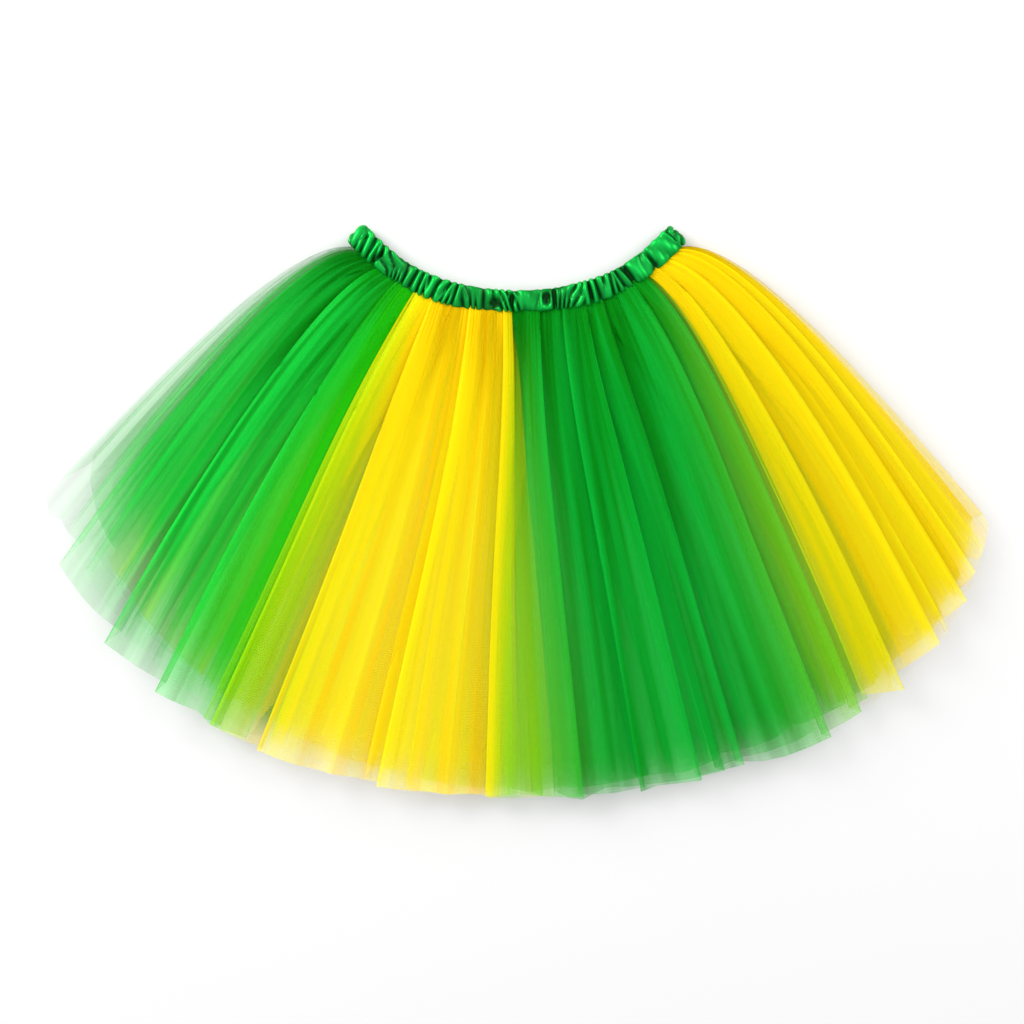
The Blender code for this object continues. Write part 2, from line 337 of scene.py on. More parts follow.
def run_columns(start, end, steps):
    """Columns from one corner to the next: bearing, lift, reach, swing of the bearing, crease.

    A forward run stays low until it nears its crest, and a back-run drops at once: they never cross.
    """
    columns = []
    forward = end[0] > start[0]
    low, high = sorted((start[1], end[1]))
    for share in (0.0, CREASE_WIDTH, *[(k + 1) / steps for k in range(steps - 1)]):
        rise = share if end[1] > start[1] else 1 - share
        if forward:
            eased = rise**FORWARD_POWER
        else:
            eased = 1 - math.sin((1 - rise) * math.pi / 2) ** BACK_POWER
        bearing, reach, swing = (start[k] + (end[k] - start[k]) * share for k in (0, 2, 3))
        crease = start[4] if share == 0 else 0.0
        columns.append((bearing, low + (high - low) * eased, reach, swing, crease))
    return columns


def fold_corners(fold, room_before, room_after, number):
    """The two corners of one fold, in the order in which the net comes to them."""
    bearing, tip, notch, height, faces = fold
    faces_right, crisp = faces == "right", height >= CRISP_FROM
    way, room = (-1, room_before) if faces_right else (1, room_after)
    if crisp:
        ridge = (bearing, height, tip, 0.0, 1.0)
        underlap = UNDERLAP_HEM * (1 + UNDERLAP_SWING * uneven(number, bearing))
        beside = (bearing + way * room * underlap, LOW_LIFT, tip - notch, way * room, 1.0)
    else:
        ridge = (bearing, height, tip, 0.0, 0.0)
        beside = (bearing + way * room / 2, DIP_LIFT * height, tip - notch / 2, 0.0, 0.0)
    return [ridge, beside] if faces_right == crisp else [beside, ridge]


def pleat_columns(folds, first, last, seams, edge_lifts):
    """The columns of a sheet from one ring bearing to another, turning back at each crisp fold.

    A crisp edge that faces right is seen at the right of its flap, with the next flap below it. A low
    fold is only a soft ridge, with a dip beside it. Folds past a seam lie flat under the neighbour.
    """
    inside = []
    for bearing, tip, notch, height, faces in sorted(fold for fold in folds if first < fold[0] < last):
        past_seam = not seams[0] <= bearing <= seams[1]
        inside.append((bearing, tip, notch, height * (BURIED_LIFT if past_seam else 1), faces))
    corners = [(first, edge_lifts[0], inside[0][1] - inside[0][2], 0.0, 1.0)]
    for i, fold in enumerate(inside):
        before = inside[i - 1][0] if i else first
        after = inside[i + 1][0] if i + 1 < len(inside) else last
        corners += fold_corners(fold, fold[0] - before, after - fold[0], i)
    corners.append((last, edge_lifts[1], inside[-1][1] - inside[-1][2], 0.0, 1.0))
    columns = []
    for start, end in zip(corners, corners[1:]):
        columns += run_columns(start, end, RUN_COLUMNS if end[0] > start[0] else BACK_RUN_COLUMNS)
    columns.append(corners[-1])
    return np.array(columns)


test_columns = pleat_columns(FRONT_FOLDS, -41.8, -0.6, (-41.8, -0.6), (0.0, 0.0))
print("the yellow centre panel has", len(test_columns), "columns")

# %% [markdown]
# ## How high each layer lies
# The frame's solids fix where every layer lies: the back layers next to the table, the front ones on
# top, with a little air between them halfway down. The sheets could be dropped by a simulation, but
# the same sizes as the solids put each one in the space that its solid holds.

# %% Heights of the layers
LAYER_STEP = 1.8 * MM
LAYER_LOFT = 3.2 * MM
# How far a fold rises, at the waist and at the hem.
FRONT_RISE = (2.0 * MM, 5.0 * MM)
BACK_RISE = (0.7 * MM, 2.4 * MM)
SIDE_FADE_FROM = 62.0
SIDE_FADE = 0.55
BAND_LEVEL_FRONT = 7.2 * MM
BAND_LEVEL_BACK = 2.4 * MM
# Where the layers are sewn into the band: the middle of the stack in front and behind, the step from
# layer to layer, and how far a fold rises.
SEWN_MIDDLES = (4.5, 0.5)
SEWN_STEP = 0.6 * MM
SEWN_RISE = 0.4 * MM
SEAM_LENGTH = 0.04
NET_ABOVE_SOLID_FLOOR = 0.6 * MM
TURN_HALF_WIDTH = 1.2


def front_share(ring):
    """1 on the front and 0 on the back, with a short turn at each side."""
    beside = np.abs((np.asarray(ring) + 180) % 360 - 180) - 90
    share = np.clip((TURN_HALF_WIDTH - beside) / (2 * TURN_HALF_WIDTH), 0, 1)
    return share * share * (3 - 2 * share)


def layer_height(ring, along, lift, levels, relief):
    """Height over the table. Levels are a layer's places in the stack on the front and on the back.

    Relief is the share of the outer layer's rise that this layer has.
    """
    past = np.maximum(0, np.abs(fold_bearing(ring)) - SIDE_FADE_FROM) / (90 - SIDE_FADE_FROM)
    fade = 1 - SIDE_FADE * np.minimum(past, 1) ** 2
    arch = np.sin(np.pi * np.minimum(along, 1)) * fade
    front_base, back_base = (level * (LAYER_STEP + LAYER_LOFT * arch) for level in levels)
    back_rise = BACK_RISE[0] + (BACK_RISE[1] - BACK_RISE[0]) * along
    front_rise = FRONT_RISE[0] + (FRONT_RISE[1] - FRONT_RISE[0]) * along
    front = front_base + back_rise + front_rise * lift * fade * relief
    back = back_base + back_rise * (1 - lift)
    sewn = np.exp(-along / SEAM_LENGTH)
    front_sewn = BAND_LEVEL_FRONT + (levels[0] - SEWN_MIDDLES[0]) * SEWN_STEP + lift * SEWN_RISE
    back_sewn = BAND_LEVEL_BACK + (levels[1] - SEWN_MIDDLES[1]) * SEWN_STEP - lift * SEWN_RISE
    front += (front_sewn - front) * sewn
    back += (back_sewn - back) * sewn
    return back + (front - back) * front_share(ring) + NET_ABOVE_SOLID_FLOOR


test_height = layer_height(np.zeros(1), np.array([0.5]), np.ones(1), (3.0, 0.0), 1.0)
print("a crest halfway down lies", round(float(test_height[0]) / MM, 1), "mm over the table")

# %% [markdown]
# ## Net as a material
# Tulle is a mesh of fine threads round holes about a millimetre across. A picture texture could
# show that, but a pattern worked out on the cloth's own flat map stays sharp at any distance and
# turns with the cloth. Single threads are only drawn on the outermost layer; the nets below are
# plain. Values stored on the mesh do the rest: how many threads there are, more where the gathers
# press them together; a crease, for the crisp line of each fold; a fold's depth, for painted shade
# in the low parts of each fold and a deeper colour near the waist; and the neighbour's share, since
# beside a seam the two colours of net mix to lime.

# %% Helpers for building a material
def add_node(tree, kind, **settings):
    node = tree.nodes.new(kind)
    for name, value in settings.items():
        setattr(node, name, value)
    return node


def maths(tree, operation, first, second=None, clamp=False):
    node = add_node(tree, "ShaderNodeMath", operation=operation, use_clamp=clamp)
    for socket, value in zip(node.inputs, (first, second)):
        if isinstance(value, bpy.types.NodeSocket):
            tree.links.new(value, socket)
        elif value is not None:
            socket.default_value = value
    return node.outputs[0]


def changed_by(tree, value, change):
    """The value times one plus the change."""
    return maths(tree, "MULTIPLY", value, maths(tree, "ADD", change, 1.0))


def attribute(tree, name):
    return add_node(tree, "ShaderNodeAttribute", attribute_name=name).outputs["Fac"]


def cloth_map(tree):
    """The flat map of the cloth, in metres."""
    return add_node(tree, "ShaderNodeUVMap", uv_map="cloth").outputs["UV"]


def cloth_noise(tree, scale, detail):
    """Noise on the flat map of the cloth, drawn out one way where the scale differs."""
    stretch = add_node(tree, "ShaderNodeMapping")
    stretch.inputs["Scale"].default_value = scale
    tree.links.new(cloth_map(tree), stretch.inputs["Vector"])
    noise = add_node(tree, "ShaderNodeTexNoise", noise_dimensions="2D")
    noise.inputs["Scale"].default_value = 1.0
    noise.inputs["Detail"].default_value = detail
    tree.links.new(stretch.outputs["Vector"], noise.inputs["Vector"])
    return noise.outputs["Fac"]


def mix_colours(tree, first, second, factor):
    """A blend of two colours. The first is a constant or the output of another node."""
    mix = add_node(tree, "ShaderNodeMix", data_type="RGBA")
    if isinstance(first, bpy.types.NodeSocket):
        tree.links.new(first, mix.inputs["A"])
    else:
        mix.inputs["A"].default_value = (*first, 1)
    mix.inputs["B"].default_value = (*second, 1)
    tree.links.new(factor, mix.inputs["Factor"])
    return mix.outputs["Result"]


# %% Tulle
NET_CELL = 1.0 * MM
NET_UNEVENNESS = 0.75
# Half a thread's width as a share of a cell, about what share of the cloth the threads cover, and how
# much more of the light they stop than the holes do.
THREAD_HALF_WIDTH = 0.11
THREAD_SHARE = 0.4
NET_CONTRAST = 0.3
NET_ROUGHNESS = 0.6
NET_SHINE = 0.04
CREASE_ALPHA = 0.16
# Streaks run down the cloth: their scale, and how much they change the threads and the depth.
STREAK_SCALE = (240.0, 5.0, 1.0)
STREAK_DETAIL = 1.0
STREAK_THREADS = 0.7
STREAK_DEPTH = 1.4


def net_threads(tree):
    """1 on the threads of the net and 0 in its holes."""
    cells = add_node(tree, "ShaderNodeTexVoronoi", voronoi_dimensions="2D", feature="DISTANCE_TO_EDGE")
    cells.inputs["Scale"].default_value = 1 / NET_CELL
    cells.inputs["Randomness"].default_value = NET_UNEVENNESS
    tree.links.new(cloth_map(tree), cells.inputs["Vector"])
    return maths(tree, "LESS_THAN", cells.outputs["Distance"], THREAD_HALF_WIDTH)


def make_tulle(name, colour, shade_and_deep_colour, seam_colour, outermost):
    material, tree, shader = new_material(name)
    shader.inputs["Roughness"].default_value = NET_ROUGHNESS
    shader.inputs["Specular IOR Level"].default_value = NET_SHINE
    netted, shade_and_depth = attribute(tree, "threads"), attribute(tree, "fold_shade_and_tone")
    if outermost:
        streak = maths(tree, "SUBTRACT", cloth_noise(tree, STREAK_SCALE, STREAK_DETAIL), 0.5)
        netted = changed_by(tree, netted, maths(tree, "MULTIPLY", streak, STREAK_THREADS))
        shade_and_depth = maths(tree, "ADD", shade_and_depth, maths(tree, "MULTIPLY", streak, STREAK_DEPTH), clamp=True)
        off_middle = maths(tree, "SUBTRACT", net_threads(tree), THREAD_SHARE)
        netted = changed_by(tree, netted, maths(tree, "MULTIPLY", off_middle, NET_CONTRAST))
    creased = maths(tree, "MULTIPLY", attribute(tree, "crease"), CREASE_ALPHA)
    alpha = maths(tree, "ADD", netted, creased, clamp=True)
    tree.links.new(alpha, shader.inputs["Alpha"])
    # The colour is mixed towards the darker one as painted shade in the low parts of each fold, and also
    # near the waist and in random streaks.
    shaded_tint = mix_colours(tree, colour, shade_and_deep_colour, shade_and_depth)
    shared = mix_colours(tree, shaded_tint, seam_colour, attribute(tree, "neighbour"))
    tree.links.new(shared, shader.inputs["Base Color"])
    return material


# Columns: colour of the net; a darker colour, mixed in as painted shade in the low parts of a fold,
# and also near the waist and in random streaks; and its colour beside a seam.
NET_COLOURS = {
    "bright_green": ((0.010, 0.76, 0.062), (0.000, 0.20, 0.001), (0.020, 0.64, 0.001)),
    "deep_green": ((0.002, 0.50, 0.040), (0.000, 0.23, 0.003), (0.220, 0.63, 0.001)),
    "yellow": ((0.94, 0.86, 0.004), (0.94, 0.62, 0.000), (0.28, 0.68, 0.001)),
    "warm_yellow": ((0.89, 0.79, 0.003), (0.90, 0.62, 0.000), (0.50, 0.60, 0.001)),
}
tulle = {tone: make_tulle(f"{tone}_net", *tints, True) for tone, tints in NET_COLOURS.items()}
lining = {tone: make_tulle(f"{tone}_lining_net", *tints, False) for tone, tints in NET_COLOURS.items()}
print(len(tulle) + len(lining), "kinds of net")

# %% [markdown]
# ## Making a sheet
# A flat grid has the right number of columns and rows already. Moving its points to their pleated
# places is simpler than growing a fan by extrusion, and it keeps a clean map of the flat cloth.

# %% A flat grid, and what its points carry
def flat_grid(name, across, up):
    """A flat mesh of quads, with the column and the row of each of its points."""
    builder = bmesh.new()
    bmesh.ops.create_grid(builder, x_segments=across, y_segments=up, size=1, calc_uvs=False)
    mesh = bpy.data.meshes.new(name)
    builder.to_mesh(mesh)
    builder.free()
    flat = np.empty(len(mesh.vertices) * 3)
    mesh.vertices.foreach_get("co", flat)
    flat = flat.reshape(-1, 3)
    column = np.rint((flat[:, 0] + 1) / 2 * across).astype(int)
    row = np.rint((flat[:, 1] + 1) / 2 * up).astype(int)
    return mesh, column, row


def move_points(mesh, place, height):
    points = np.column_stack([place, height])
    mesh.vertices.foreach_set("co", points.astype(np.float32).ravel())


def store_value(mesh, label, values):
    stored = mesh.attributes.new(label, "FLOAT", "POINT")
    stored.data.foreach_set("value", values.astype(np.float32))


def map_cloth(mesh, across, down):
    """Stores where each point lies on the flat cloth, in metres."""
    corner = np.empty(len(mesh.loops), int)
    mesh.loops.foreach_get("vertex_index", corner)
    cloth_uv = np.column_stack([across, down])[corner]
    mesh.uv_layers.new(name="cloth").data.foreach_set("uv", cloth_uv.astype(np.float32).ravel())


ROW_COUNT = 34
ROW_POWER = 1.25
ROW_BUNCHING = 0.75


def row_shares():
    """Shares of the way down, closer together at the waist, where the gathers are tight."""
    even = np.linspace(0, 1, ROW_COUNT)
    return even**ROW_POWER * ROW_BUNCHING + even * (1 - ROW_BUNCHING)


print(ROW_COUNT, "rows of points from waist to hem")

# %% [markdown]
# ## Where the net is thick and where it is thin
# The sheer left side, the soft hem and the lime strips beside the seams come from how many threads
# each point of a sheet has and how much of the neighbour's colour it takes. They could be painted
# as pictures, but short formulas in the fan's own bearings follow the skirt when its sizes change.

# %% Threads, streaks and seam colour along a sheet
SIDE_DROP_POWER = 1.5
# Extra threads where the gathers press the net together, and how soon that fades down the cloth.
GATHER_THREADS, GATHER_THREADS_LENGTH = 0.5, 0.2
MOST_THREADS = 0.97
# Bearings between which the net thins towards the skirt's left and right sides.
LEFT_FADE = (-90.0, -64.0)
RIGHT_FADE = (90.0, 78.0)
# What is left of the threads at the left edge, at the waist and at the hem, and at the right edge.
LEFT_THINNEST = (0.07, 0.36)
RIGHT_THINNEST = 0.75
LEFT_FADE_POWER = 1.5
# Share of the length over which a hem thins out, and how much longer that is on the left side,
# which starts and is complete at these bearings.
HEM_FADE, LEFT_HEM_FADE = 0.03, 0.11
LEFT_HEM_FROM = (-40.0, -56.0)
# What a ragged inner hem loses, and what a full-length one loses on the left side. A layer counts as
# ragged wherever it ends short of the full length.
RAGGED_HEM_LOSS, LEFT_HEM_LOSS = 0.85, 0.3
FULL_LENGTH = 0.999
SEAM_MIX_POWER = 1.5
LEAST_SPREAD = 1.0
# Bunches, in radians for each metre across the cloth, and the waves that make them wander. Columns of
# the waves: size in radians, pace across, pace down, times the seed.
BROAD_BUNCHES, FINE_BUNCHES = 190.0, 410.0
BROAD_WANDER = ((2.1, 67.0, 0.0, 1), (1.5, 0.0, 4.0, 2))
FINE_WANDER = ((3.0, 31.0, 3.1, 1),)


def ramp(value, start, end):
    """0 at the start, 1 at the end, and level beyond them."""
    return np.clip((value - start) / (end - start), 0, 1)


def layer_length(ring, lengths):
    """Share of the full length that a layer reaches, less towards the skirt's left and right sides."""
    middle, left_drop, right_drop = lengths
    across = np.sin(np.radians(fold_bearing(ring)))
    return middle - np.where(across < 0, left_drop, right_drop) * np.abs(across) ** SIDE_DROP_POWER


def sheet_density(bearing, along, base, length):
    """Thread density: gathers press the net together at the waist, and the far sides are thin.

    The hems of the inner layers are cut ragged, so that they fade instead of ending in a line.
    """
    gathered = 1 + GATHER_THREADS * np.exp(-along / GATHER_THREADS_LENGTH)
    left, right = ramp(bearing, *LEFT_FADE), ramp(bearing, *RIGHT_FADE)
    thinnest = LEFT_THINNEST[0] + (LEFT_THINNEST[1] - LEFT_THINNEST[0]) * along
    on_left_side = thinnest + (1 - thinnest) * left**LEFT_FADE_POWER
    sheer = on_left_side * (RIGHT_THINNEST + (1 - RIGHT_THINNEST) * right)
    left_hem = ramp(bearing, *LEFT_HEM_FROM)
    reached = np.clip((length - along) / (HEM_FADE + LEFT_HEM_FADE * left_hem), 0, 1)
    loss = np.where(length < FULL_LENGTH, RAGGED_HEM_LOSS, LEFT_HEM_LOSS * left_hem)
    return np.clip(base * gathered * sheer * (1 - loss * (1 - reached)), 0, MOST_THREADS)


def wander(width, along, seed, parts):
    return sum(
        size * np.sin(width * across + along * down + seed * times) for size, across, down, times in parts
    )


def slow_drift(width, along, seed):
    """How the gathers bunch the net, from -1 to 1: it changes across the cloth, and little down it."""
    broad = np.sin(width * BROAD_BUNCHES + wander(width, along, seed, BROAD_WANDER))
    return (broad + np.sin(width * FINE_BUNCHES + wander(width, along, seed, FINE_WANDER))) / 2


def seam_share(ring, along, seams, mixes):
    """How much of the neighbour's colour shows in the net beside each of its two seams."""
    share = np.zeros(len(ring))
    for seam, (reach, at_waist, at_hem) in zip(seams, mixes):
        most = at_waist + (at_hem - at_waist) * along**SEAM_MIX_POWER
        share = np.maximum(share, most * np.exp(-(((ring - seam) / reach) ** 2)))
    return np.minimum(share, 1)


def under_neighbour(ring, seams, spreads):
    """How far the net has run on past its own seam, from 0 at the seam to 1 at its edge."""
    before = (seams[0] - ring) / max(spreads[0], LEAST_SPREAD)
    after = (ring - seams[1]) / max(spreads[1], LEAST_SPREAD)
    return np.clip(np.maximum(before, after), 0, 1)


middle_threads = sheet_density(np.zeros(1), np.array([0.5]), 1.0, np.ones(1))
print("halfway down the middle, the net has", round(float(middle_threads[0]), 2), "of its threads")

# %% Build one pleated sheet
# The gathers' sway: degrees, pace down the cloth, pace round the ring.
SWAY, SWAY_DOWN, SWAY_ROUND = 0.35, 5.0, 0.11
# How suddenly a fold's corner pokes out near the hem, and how far the net runs up into the band.
TIP_POWER = 6
SEAM_DEPTH = 3.5 * MM
# The fine gathers below the band, and how much flatter they are where they are sewn.
GATHER_HEIGHT = 1.2 * MM
GATHER_LENGTH = 0.22
SEWN_CALM = 0.8
HEM_WAVE, HEM_WAVE_PACE, HEM_WAVE_SHIFT = 0.8 * MM, 0.9, 3
# No point lies lower than this over the table.
LOWEST = 0.3 * MM
# How much darker the colour is: in the low parts of a fold, as painted shade, and near the waist.
FOLD_SHADE = 0.55
WAIST_DEPTH, WAIST_DEPTH_LENGTH = 0.85, 0.3
# Threads: share left where a fold runs back, share in a dip and how much more on a crest, share lost
# by a crease at the hem, and by yellow net at its edge under the green.
BACK_RUN_THREADS = 0.6
LOW_THREADS, CREST_THREADS = 0.82, 0.36
CREASE_HEM_LOSS = 0.6
UNDER_GREEN_LOSS = 0.85
DRIFT_THREADS, DRIFT_DEPTH = 0.16, 0.4


def lay_sheet(columns, column, share_down, spreads, levels, layer, seed):
    """Each point's ring bearing, bearing from above, share of the way down, layer's end, place, height."""
    ring, lift, reach, swing, _ = columns[column].T
    length = layer_length(ring, layer.lengths)
    along = share_down * length
    up = (1 - share_down) ** 2
    ring = ring + swing * (UNDERLAP_WAIST - UNDERLAP_HEM) * up
    ring = np.clip(ring, columns[0, 0] + spreads[0] * up, columns[-1, 0] - spreads[1] * up)
    sway = SWAY * np.sin(along * SWAY_DOWN + ring * SWAY_ROUND + seed) * np.sin(np.pi * share_down)
    bearing = fold_bearing(ring + sway)
    extra = reach * MM * share_down**TIP_POWER - SEAM_DEPTH * np.exp(-along / SEAM_LENGTH)
    ripple = np.where(column % 2 == 0, 1, -1) * GATHER_HEIGHT * np.exp(-along / GATHER_LENGTH)
    ripple *= 1 - SEWN_CALM * np.exp(-along / SEAM_LENGTH)
    wave = HEM_WAVE * np.sin(ring * HEM_WAVE_PACE + seed * HEM_WAVE_SHIFT) * along**3
    height = layer_height(ring, along, lift, levels, layer.relief) + ripple + wave
    return ring, bearing, along, length, fan_place(bearing, along, extra), np.maximum(height, LOWEST)


def make_sheet(panel, layer, columns, spreads, levels, seed):
    """One layer of a panel, and the width and the length of its flat cut in metres."""
    across, down = len(columns) - 1, ROW_COUNT - 1
    name = f"{panel.name}_{layer.name}"
    mesh, column, row = flat_grid(name, across, down)
    ring, bearing, along, length, place, height = lay_sheet(
        columns, column, row_shares()[down - row], spreads, levels, layer, seed
    )
    move_points(mesh, place, height)

    hem = fan_place(fold_bearing(columns[:, 0]), np.ones(across + 1), np.zeros(across + 1))
    width = np.concatenate([[0], np.cumsum(np.linalg.norm(np.diff(hem, axis=0), axis=1))])
    map_cloth(mesh, width[column], along * middle_length)

    lift, crease = columns[column, 1], columns[column, 4]
    drift = slow_drift(width[column], along, seed)
    threads = sheet_density(bearing, along, layer.density * panel.fullness, length)
    threads *= np.where(np.gradient(columns[:, 0])[column] < 0, BACK_RUN_THREADS, 1.0)
    if panel.cloth == "yellow":
        threads *= 1 - UNDER_GREEN_LOSS * under_neighbour(ring, panel.seams, spreads)
    threads *= (LOW_THREADS + CREST_THREADS * np.clip(lift, 0, 1)) * (1 + DRIFT_THREADS * drift)
    # Painted shade in the low parts of each fold, and a deeper colour near the waist.
    shade_and_depth = FOLD_SHADE * np.clip(1 - lift, 0, 1) + WAIST_DEPTH * np.exp(-along / WAIST_DEPTH_LENGTH)
    store_value(mesh, "threads", threads)
    store_value(mesh, "crease", crease * (1 - CREASE_HEM_LOSS * along**2))
    store_value(mesh, "fold_shade_and_tone", np.clip(shade_and_depth + DRIFT_DEPTH * drift, 0, 1))
    store_value(mesh, "neighbour", seam_share(ring, along, panel.seams, panel.mixes))

    mesh.materials.append(tulle[panel.tone] if layer.name == "outer" else lining[panel.tone])
    mesh.shade_smooth()
    mesh.flip_normals()
    cut_width, cut_length = float(width[-1]), layer.lengths[0] * float(middle_length)
    area = sum(polygon.area for polygon in mesh.polygons) / (cut_width * cut_length)
    print(name, round(cut_width / MM), "x", round(cut_length / MM), "mm cut,", round(area, 2),
          "of it in sight,", across * down * 2, "triangles")
    return link_object(name, mesh), cut_width, cut_length


# %% [markdown]
# ## The six panels
# Each panel in sight has three layers, and each panel behind has two; towards the skirt's sides the
# inner ones are cut shorter. A single sheet for each panel would be less work, but it would have one
# even colour right up to its hem. Neighbours overlap under the seam, so yellow shows through green
# there as lime, as it does on the real thing. Two panels turn round the sides of the skirt and carry
# on underneath; their sheets do the same, so that no cut edge shows where the real skirt has none.

# %% The panels and their layers
# Fields: name, cloth, tone of the net, ring bearings of the two seams, lift of the edge at each seam,
# frame nodes that the panel stands for, degrees that the hems of its outer, middle and inner layer run
# on past the first seam and past the second, how far the neighbour's colour shows beside each seam
# (degrees, share at the waist, share at the hem), and how full of threads the panel is.
Panel = namedtuple("Panel", "name cloth tone seams edge_lifts nodes before after mixes fullness")
PANELS = (
    Panel(
        "green_left", "green", "bright_green", (-112.0, -41.8), (0.0, 0.0),
        ("green_left_front", "green_left_back"), (0.0, 0.0, 0.0), (6.5, 8.5, 8.8),
        ((1.0, 0.0, 0.0), (6.5, 0.9, 0.8)), 1.0,
    ),
    Panel(
        "yellow_centre", "yellow", "yellow", (-41.8, -0.6), (1.0, 0.3),
        ("yellow_centre_front",), (0.0, -7.0, -8.0), (0.9, 5.2, -2.0),
        ((5.5, 0.40, 1.0), (2.2, 0.3, 1.0)), 1.0,
    ),
    Panel(
        "green_right", "green", "deep_green", (-0.6, 47.8), (0.2, 0.3),
        ("green_right_front",), (-0.9, -5.2, 2.6), (0.6, -6.3, 13.2),
        ((6.0, 0.0, 1.0), (7.5, 0.0, 0.85)), 1.0,
    ),
    Panel(
        "yellow_right", "yellow", "warm_yellow", (47.8, 130.0), (0.3, 0.0),
        ("yellow_right_front", "yellow_right_back"), (0.0, 6.5, -14.2), (0.0, 0.0, 0.0),
        ((8.0, 0.1, 0.58), (1.0, 0.0, 0.0)), 1.0,
    ),
    Panel(
        "green_back", "green", "bright_green", (130.0, 190.0), (0.0, 0.0),
        ("green_back",), (2.0, 1.0, 0.0), (2.0, 1.0, 0.0),
        ((1.0, 0.0, 0.0), (1.0, 0.0, 0.0)), 0.8,
    ),
    Panel(
        "yellow_back", "yellow", "yellow", (190.0, 248.0), (0.0, 0.0),
        ("yellow_back",), (2.0, 1.0, 0.0), (2.0, 1.0, 0.0),
        ((1.0, 0.0, 0.0), (1.0, 0.0, 0.0)), 0.55,
    ),
)
# Fields: name, level in the stack on the front and on the back, lengths (share in the middle, how much
# less at the left side and at the right), share of the full relief, density of threads.
Layer = namedtuple("Layer", "name front back lengths relief density")
LAYERS = (
    Layer("outer", 3.0, 0.0, (1.000, 0.00, 0.00), 1.00, 0.43),
    Layer("middle", 2.5, 0.5, (1.004, 0.04, 0.01), 0.35, 0.41),
    Layer("inner", 2.0, 1.0, (0.995, 0.06, 0.02), 0.25, 0.43),
)
# How much higher in the stack a green layer lies than a yellow one.
GREEN_OVER_YELLOW = 0.15
# Columns: share of the half turn that each layer reaches on the left side and on the right.
SIDE_TUCK = {"outer": (1.0, 1.0), "middle": (0.93, 0.965), "inner": (0.86, 0.93)}
# The back's right side, middle and left side, and how much shorter it is there, in mm.
BACK_BEARINGS = (90.0, 180.0, 270.0)
BACK_SHORTER = (14.0, 1.0, 42.0)
FRONT_BEARINGS = (-90.0, 90.0)
FRONT_SEED = 5
LAYER_SEED = 0.7
print(len(PANELS), "panels of up to", len(LAYERS), "layers")

# %% Cut and place the panels
def panel_folds(layer_name, seed):
    """The outer layer has the measured folds in front; everything else follows the rhythm."""
    hidden = [
        (bearing, tip - np.interp(bearing, BACK_BEARINGS, BACK_SHORTER), *rest)
        for bearing, tip, *rest in rhythm(BACK_BEARINGS[0], BACK_BEARINGS[-1], seed)
    ]
    front = list(FRONT_FOLDS) if layer_name == "outer" else rhythm(*FRONT_BEARINGS, seed + FRONT_SEED)
    return sorted(front + hidden + [(bearing - 360, *rest) for bearing, *rest in hidden])


def tuck_sides(columns, tuck):
    """Draws an inner layer in from the skirt's two sides."""
    ring = columns[:, 0]
    middle = np.where(np.cos(np.radians(ring)) > 0, 0, 180) + np.where(ring < -90, -360, 0)
    on_left = (ring < 0) | (ring > 180)
    columns[:, 0] = middle + (ring - middle) * np.where(on_left, *tuck)
    return columns


for order, panel in enumerate(PANELS):
    for step, layer in enumerate(LAYERS):
        if panel.fullness < 1 and layer.name == "middle":
            continue
        spreads = (panel.before[step], panel.after[step])
        first, last = panel.seams[0] - spreads[0], panel.seams[1] + spreads[1]
        folds = panel_folds(layer.name, step)
        columns = pleat_columns(folds, first, last, panel.seams, panel.edge_lifts)
        columns = tuck_sides(columns, SIDE_TUCK[layer.name])
        over = GREEN_OVER_YELLOW if panel.cloth == "green" else 0.0
        levels = (layer.front + over, layer.back + over)
        seed = order + LAYER_SEED * step
        sheet, width, down = make_sheet(panel, layer, columns, spreads, levels, seed)
        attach(sheet, "root")
        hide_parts(*[f"panel_{node}_{kind}" for node in panel.nodes for kind in ("outer", "inner")])

# %% [markdown]
# ## The satin waistband
# The band is a tube of satin, cut longer than the waist and drawn up by the elastic inside. That
# makes short upright ruches, each a rounded ridge with a sharp valley beside it. They aren't
# parallel: two ridges at the lower edge often run into one above. A cloth simulation could gather
# it, but the ridges in sight are a fact of this object, so they are set by a formula instead: one
# set of ridges along the top edge, another along the bottom edge, blended into each other.

# %% Sizes of the band
BAND_HEIGHT = 15.6 * MM
BAND_MIDDLE_PINCH = 1.8 * MM
BAND_PINCH_BEARING = 14.0
# How far the casing stands out from its middle: inside, on a crest and in a valley.
BAND_INNER_HALF = 2.1 * MM
BAND_CREST_HALF = 4.0 * MM
BAND_VALLEY_HALF = 0.3 * MM
BAND_EDGE_WAVE = 1.2 * MM
BAND_TURN_LENGTH = 7.5 * MM
BAND_CUT = (0.58, 0.034)
FRONT_STATIONS, BACK_STATIONS, TURN_STATIONS = 960, 300, 36
FINE_BEARINGS = 1441
SECTION_POINTS = 36
# Powers that bring the casing's round section nearer to a box: upwards, and outwards.
SECTION_POWERS = (0.7, 0.8)
# Half the opening of the slit along the lower edge, in radians round the section.
SLIT = 0.06
# Degrees to either side at which the waist line's direction is measured.
TANGENT_STEP = 0.05
# Points nearer than this become one.
WELD = 1e-6
print("band", round(BAND_HEIGHT / MM, 1), "mm high")

# %% Where the ruches lie
RUCHE_PITCH = 4.85 * MM
RIDGE_POWER = 0.95
# Slow waves that make the ruches uneven. Columns: size, pace for each ruche, phase.
BOTTOM_WANDER = ((0.42, 0.83, 0.0), (0.30, 1.71, 1.3))
TOP_WANDER = ((0.50, 0.53, 0.6),)
SLANT = ((0.50, 0.37, 0.0), (0.35, 1.13, 2.0))
MERGE_LEVEL = ((0.35, 0.97, 2.0),)
TALLNESS = ((0.22, 0.61, 0.4),)
MEAN_TALLNESS = 0.78
MERGE_SHARPNESS = 0.75
TOP_RUCHES = 0.72
# Bearing at which a ruche leans outward by one pitch.
FAN_LEAN = 160.0
BULGE_LIMITS = (-0.1, 1.25)
